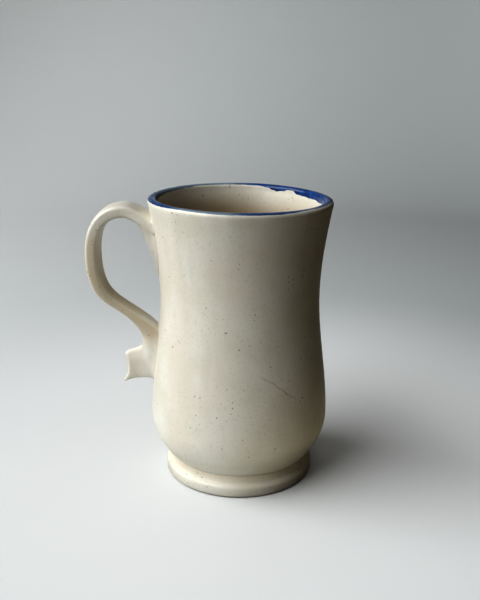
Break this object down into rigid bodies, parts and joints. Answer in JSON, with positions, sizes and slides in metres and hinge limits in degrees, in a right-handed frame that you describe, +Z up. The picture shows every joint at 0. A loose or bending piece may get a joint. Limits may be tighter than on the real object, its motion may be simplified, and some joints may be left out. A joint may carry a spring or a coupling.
{
  "type": "stoneware mug",
  "caption": "Tall hand-thrown stoneware mug with a baluster body on a flared foot, a pulled strap handle that ends in a fishtail, and a cobalt glaze cap on the lip.",
  "frame": {"origin": "centre of the foot on the surface it stands on", "axes": "+Z up along the mug's axis, -X towards the handle, +Y across the handle"},
  "size_m": [0.1101, 0.082, 0.13],
  "materials": {
    "cream_glaze": "satin cream glaze over iron-speckled stoneware",
    "cobalt_glaze": "gloss cobalt blue glaze"
  },
  "bodies": {
    "root": {"body": "cream_glaze", "foot_ring": "cream_glaze", "rim_band": "cobalt_glaze", "handle": "cream_glaze", "handle_tail": "cream_glaze", "upper_join": "cream_glaze", "lower_join": "cream_glaze"}
  },
  "joints": []
}
